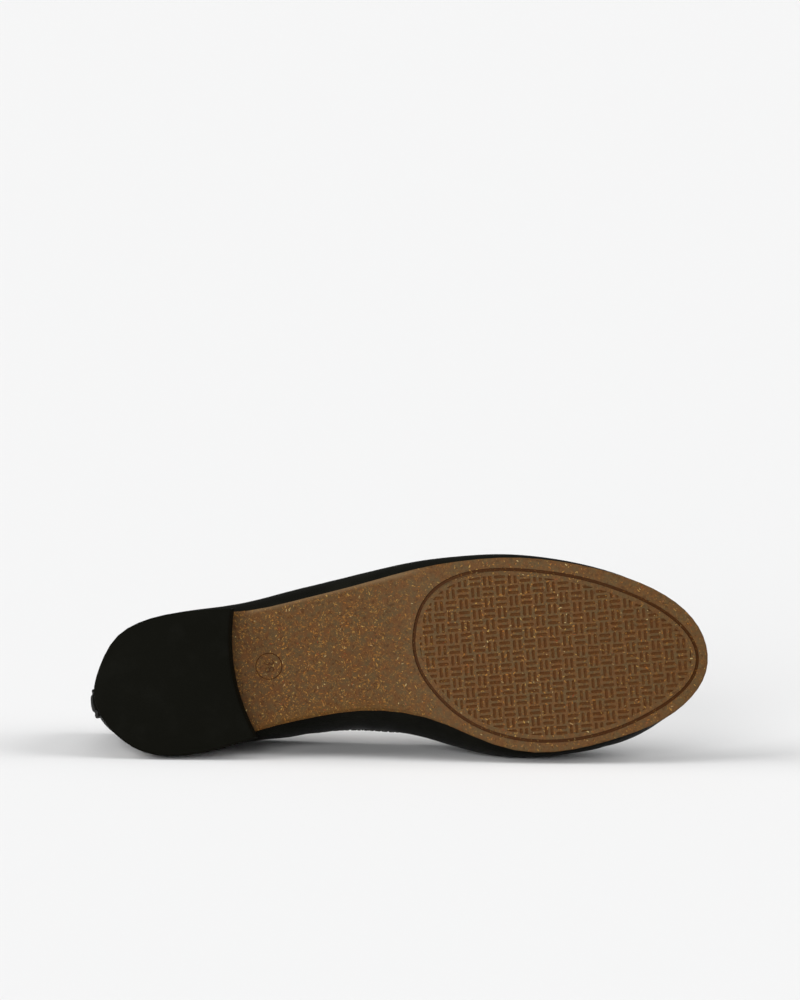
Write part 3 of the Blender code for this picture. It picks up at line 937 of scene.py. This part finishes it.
def upperRow(cubics, share, lining):
    # One row round the wall, on the leather or on the lining inside it
    points, out, climb = wallFrame(cubics, share)
    tuck = math.exp(-(share / upperSizes["tuckReach"]) ** 2)
    relief = creaseRelief(cubics, points) + gatherRelief(cubics, share)
    if lining:
        relief = relief * upperSizes["liningRelief"] - upperSizes["wall"]
    else:
        relief = relief + lastingRelief(cubics, share) - upperSizes["tuck"] * tuck
    return points + out * relief[:, None] - climb * soleSizes["seatGap"] * tuck


def makeUpper():
    cubics = ringCubics(upperSizes["ribs"])
    rows = [upperRow(cubics, share, False) for share in np.linspace(0, 1, upperSizes["leatherRows"])]
    rows += [upperRow(cubics, share, True) for share in np.linspace(1, 0, upperSizes["liningRows"])]
    upper = tube("leather_upper", np.array(rows).transpose(1, 0, 2))
    upper.data.materials.append(grainedLeather("upper_leather", *leatherLook["upper"]))
    upper.data.materials.append(sockLeather("lining_leather", *sockLook["lining"]))
    # Faces of the lining's rows take the second material
    for face in upper.data.polygons:
        face.material_index = int(upperSizes["leatherRows"] <= face.index % len(rows) < len(rows) - 1)
    closeTube(upper)
    fasten(upper, "upper_leather", "upper")


# Collar: a gathered tape folded over the top edge of the wall

bindingSizes = {
    "ribs": 1760,
    "sides": 16,
    "height": 0.0036,
    "thickness": 0.0026,
    "overlap": 0.0006,        # how far it comes down over the wall
    "proud": 0.0012,          # how far it stands out at the arch
    "arch": (0.124, 0.013),   # where that is, and how soon it fades
    "pleatPitch": 0.00145,
    "pleatShare": 0.42,       # how much the pleats swell and sink, as a share of the thickness
    "stitchRow": 0.55,        # how far down the stitches are, as a share of half the height
    "stitchPitch": 0.0026,
    "stitchLength": 0.0018,
    "stitchRadius": 0.00019,
}


def makeStitches(name, places, length, radius, thread, slot):
    bpy.ops.mesh.primitive_uv_sphere_add(segments=8, ring_count=6, radius=1)
    stitch = bpy.context.object
    stitch.scale = (length / 2, radius, radius)
    bpy.ops.object.transform_apply(location=False, rotation=False, scale=True)
    stitches = repeated(name, stitch, [toScene @ place for place in places])
    stitches.data.materials.append(thread)
    stitches.data.shade_smooth()
    fasten(stitches, slot)


def placed(point, way, out):
    # A place on a surface, with X along the way and Z out of it
    x = Vector(way).normalized()
    z = Vector(out)
    z = (z - x * z.dot(x)).normalized()
    return Matrix.Translation(point) @ Matrix((x, z.cross(x), z)).transposed().to_4x4()


def makeBinding(thread):
    count, sides = bindingSizes["ribs"], bindingSizes["sides"]
    cubics = ringCubics(count)
    points, out, climb = wallFrame(cubics, 1.0)
    half = bindingSizes["height"] / 2
    arch, fade = bindingSizes["arch"]
    proud = bindingSizes["proud"] * np.exp(-((points[:, :1] - arch) / fade) ** 2) * (out[:, 1:2] > 0)
    middle = points + out * (proud - upperSizes["wall"] / 2) + climb * (soleSizes["seatGap"] + half)
    run = arcLength(np.vstack((middle, middle[:1])))
    pleats = round(run[-1] / bindingSizes["pleatPitch"])
    phase = math.pi * pleats * run[:-1] / run[-1] + 0.9 * softNoise(count, waves=140, seed=31)
    strength = bindingSizes["pleatShare"] * (0.7 + 0.3 * softNoise(count, waves=60, seed=8))
    pleat = strength * (np.abs(np.sin(phase)) ** 1.1 - 0.55)
    # The tape's section, which swells and sinks with the pleats
    turns = np.arange(sides) / sides * fullTurn
    side = squarer(np.cos(turns), 0.75) * bindingSizes["thickness"] / 2
    height = squarer(np.sin(turns), 0.85) * half
    height = np.where(height < 0, height - bindingSizes["overlap"], height)
    swell = 1 + pleat[:, None] * np.where(height > -half, 1.0, 0.5)
    tape = (middle[:, None] + out[:, None] * (side * swell)[:, :, None]
            + climb[:, None] * (height * (1 + (swell - 1) * 0.6))[:, :, None])
    binding = tube("gathered_collar", tape)
    binding.data.materials.append(grainedLeather("binding_leather", *leatherLook["binding"]))
    closeTube(binding)
    fasten(binding, "binding_leather", "collar_binding")
    # A row of stitches near the tape's lower edge
    row = middle + out * bindingSizes["thickness"] / 2 * 1.01 - climb * half * bindingSizes["stitchRow"]
    run = arcLength(np.vstack((row, row[:1])))
    places = []
    for place in np.arange(0, run[-1], bindingSizes["stitchPitch"]):
        rib = int(np.searchsorted(run, place)) % count
        places.append(placed(row[rib], row[(rib + 2) % count] - row[rib - 2], out[rib]))
    makeStitches("collar_stitches", places, bindingSizes["stitchLength"], bindingSizes["stitchRadius"],
                 thread, "binding_leather")


# Strip up the back, with a stitched channel beside each edge

stripSizes = {
    "rows": 72,
    "heelRib": 100,           # the ribs are counted so that this one is at the back
    "lowest": 0.06,           # its ends, as shares of the wall's height
    "highest": 0.94,
    "thickness": 0.0013,
    "bevel": 0.00022,
    "bevelAngle": 50,
    "smoothAngle": 40,
    "sink": 0.0004,           # how deep its back lies in the wall's face
    "channel": 0.66,          # place of a channel, as a share of the half width
    "channelWidth": 0.12,
    "channelDepth": 0.50,     # as a share of the thickness
    "stitchPitch": 0.0030,
    "stitchLength": 0.0024,
    "stitchRadius": 0.00026,
}


def makeStrip(thread):
    heelRib = stripSizes["heelRib"]
    cubics = np.roll(ringCubics(bindingSizes["ribs"]), heelRib, axis=1)
    # The strip is as wide as the model's, half-way up
    strip = inShoe(getPoints(frame["nodes"]["back_strip"]))
    middleRow = wallRow(cubics, 0.5)
    near = strip[np.abs(strip[:, 2] - middleRow[heelRib, 2]) < 0.008]
    nearest = [int(np.linalg.norm(middleRow - point, axis=1).argmin()) for point in near]
    first, last = min(nearest), max(nearest)
    columns = last - first + 1
    # Low crown with turned-down edges and a channel beside each
    across = np.linspace(-1, 1, columns)
    edges = 0.15 * np.exp(-((np.abs(across) - 1) / 0.05) ** 2)
    crown = 1.10 + 0.09 * across - 0.28 * across**2 - edges
    groove = np.exp(-((np.abs(across) - stripSizes["channel"]) / stripSizes["channelWidth"]) ** 2)
    height = stripSizes["thickness"] * (crown - stripSizes["channelDepth"] * groove) + soleSizes["seatGap"]
    shares = np.linspace(stripSizes["lowest"], stripSizes["highest"], stripSizes["rows"])
    grid, channels = [], {-1: [], 1: []}
    for share in shares:
        points, out, climb = wallFrame(cubics, share)
        ripple = 1 + 0.05 * math.sin(share * 60)
        grid.append(points[first:last + 1] + out[first:last + 1] * (height * ripple)[:, None])
        for side, channel in channels.items():
            rib = first + int(round((1 + side * stripSizes["channel"]) / 2 * (columns - 1)))
            lift = stripSizes["thickness"] * (1 - stripSizes["channelDepth"]) + soleSizes["seatGap"]
            channel.append((points[rib] + out[rib] * lift, out[rib]))
    bpy.ops.mesh.primitive_grid_add(x_subdivisions=columns - 1, y_subdivisions=stripSizes["rows"] - 1)
    piece = rename(bpy.context.object, "back_strip_leather")
    setPoints(piece, inScene(np.array(grid).reshape(-1, 3)))
    outward = wallFrame(cubics, 0.5)[1][(first + last) // 2]
    if np.array(piece.data.polygons[0].normal) @ np.array(toScene.to_3x3()) @ outward < 0:
        piece.data.flip_normals()
    applyModifier(piece, "SOLIDIFY", thickness=stripSizes["thickness"] + stripSizes["sink"], offset=-1)
    roundEdges(piece, stripSizes["bevel"], 2, stripSizes["bevelAngle"])
    piece.data.materials.append(grainedLeather("strip_leather", *leatherLook["strip"]))
    smooth(piece, stripSizes["smoothAngle"])
    fasten(piece, "strip_leather", "back_strip")
    places = []
    for channel in channels.values():
        line = np.array([point for point, _ in channel])
        run = arcLength(line)
        for place in np.arange(0.002, run[-1] - 0.001, stripSizes["stitchPitch"]):
            row = min(max(int(np.searchsorted(run, place)), 1), len(line) - 2)
            places.append(placed(line[row], line[row + 1] - line[row - 1], channel[row][1]))
    makeStitches("strip_stitches", places, stripSizes["stitchLength"], stripSizes["stitchRadius"],
                 thread, "strip_leather")


# Sock inside the shoe

sockSizes = {
    "bevel": 0.0007,
    "bevelAngle": 40,
    "smoothAngle": 35,
}


def makeSock():
    sock = copyOfNode("insole", "leather_sock")
    roundEdges(sock, sockSizes["bevel"], 3, sockSizes["bevelAngle"])
    sock.data.materials.append(sockLeather("sock_leather", *sockLook["sock"]))
    smooth(sock, sockSizes["smoothAngle"])
    fasten(sock, "sock_leather", "insole")


# Stage: pale floor, soft light and the photograph's view

photo = {
    "size": (800, 1000),
    "pixel": 0.0004075,       # metres on the shoe for a pixel of the photograph
    "origin": (399.3, 748.5),     # pixel at which the middle of the shoe's box meets the floor
    "elevation": 9.3,
    "roll": 0.49,             # degrees that the camera is turned about its own line of sight
    "distance": 9.0,
    "sensor": 36.0,
}
lights = {
    "skyColour": (0.98, 0.99, 1.0),
    "skyStrength": 0.17,
    "floor": 0.79,            # how pale the floor is
    # name, strength, softness in degrees, where it shines from
    "suns": (
        ("front_box", 2.3, 35, (-0.30, -1.0, 0.25)),
        ("left_box", 2.0, 45, (-1.0, -0.1, 0.70)),
        ("right_box", 1.6, 45, (1.0, -0.1, 0.70)),
        ("overhead", 0.55, 60, (0.0, 0.0, 1.0)),
    ),
}


def makeStage():
    bpy.ops.mesh.primitive_plane_add(size=40, location=(0, 8, 0))
    floor = rename(bpy.context.object, "pale_floor")
    finish = Finish("pale_paper")
    shade = lights["floor"]
    floor.data.materials.append(finish.surface({
        "Base Color": finish.blend(finish.noise(0.004), (shade * 0.998,) * 3, (shade * 1.002,) * 3),
        "Roughness": 0.9,
        "Specular IOR Level": 0.0,
    }))
    sky = bpy.data.worlds.new("soft_sky")
    sky.use_nodes = True
    background = sky.node_tree.nodes["Background"]
    background.inputs["Color"].default_value = (*lights["skyColour"], 1)
    background.inputs["Strength"].default_value = lights["skyStrength"]
    bpy.context.scene.world = sky
    for name, strength, softness, source in lights["suns"]:
        bpy.ops.object.light_add(type="SUN")
        sun = bpy.context.object
        sun.name = name
        sun.data.energy = strength
        sun.data.angle = math.radians(softness)
        sun.rotation_euler = Vector(source).to_track_quat("Z", "Y").to_euler()
    bpy.context.scene.view_settings.view_transform = "Standard"
    print("set the floor, the sky and", len(lights["suns"]), "lights")


def makeCamera():
    low, high = cadBounds
    aim = Vector((0, 0, (low.z + high.z) / 2))
    lean = math.radians(photo["elevation"])
    back = Vector((0, -math.cos(lean), math.sin(lean)))
    bpy.ops.object.camera_add(location=aim + back * photo["distance"])
    camera = bpy.context.object
    upright = back.to_track_quat("Z", "Y").to_matrix()
    camera.rotation_euler = (upright @ Matrix.Rotation(math.radians(photo["roll"]), 3, "Z")).to_euler()
    width, height = photo["size"]
    camera.data.sensor_width = photo["sensor"]
    camera.data.lens = photo["sensor"] * photo["distance"] / (height * photo["pixel"])
    aimRow = photo["origin"][1] - aim.z * math.cos(lean) / photo["pixel"]
    camera.data.shift_y = (aimRow - height / 2) / height
    camera.data.shift_x = (width / 2 - photo["origin"][0]) / height
    camera.data.clip_end = 100
    bpy.context.scene.camera = camera
    print("set the camera", photo["elevation"], "degrees up, with a lens of", camera.data.lens, "mm")


makeStage()
makeCamera()
makeSole()
makeHeel()
makeUpper()
blackThread = twistedThread()
makeBinding(blackThread)
makeStrip(blackThread)
makeSock()
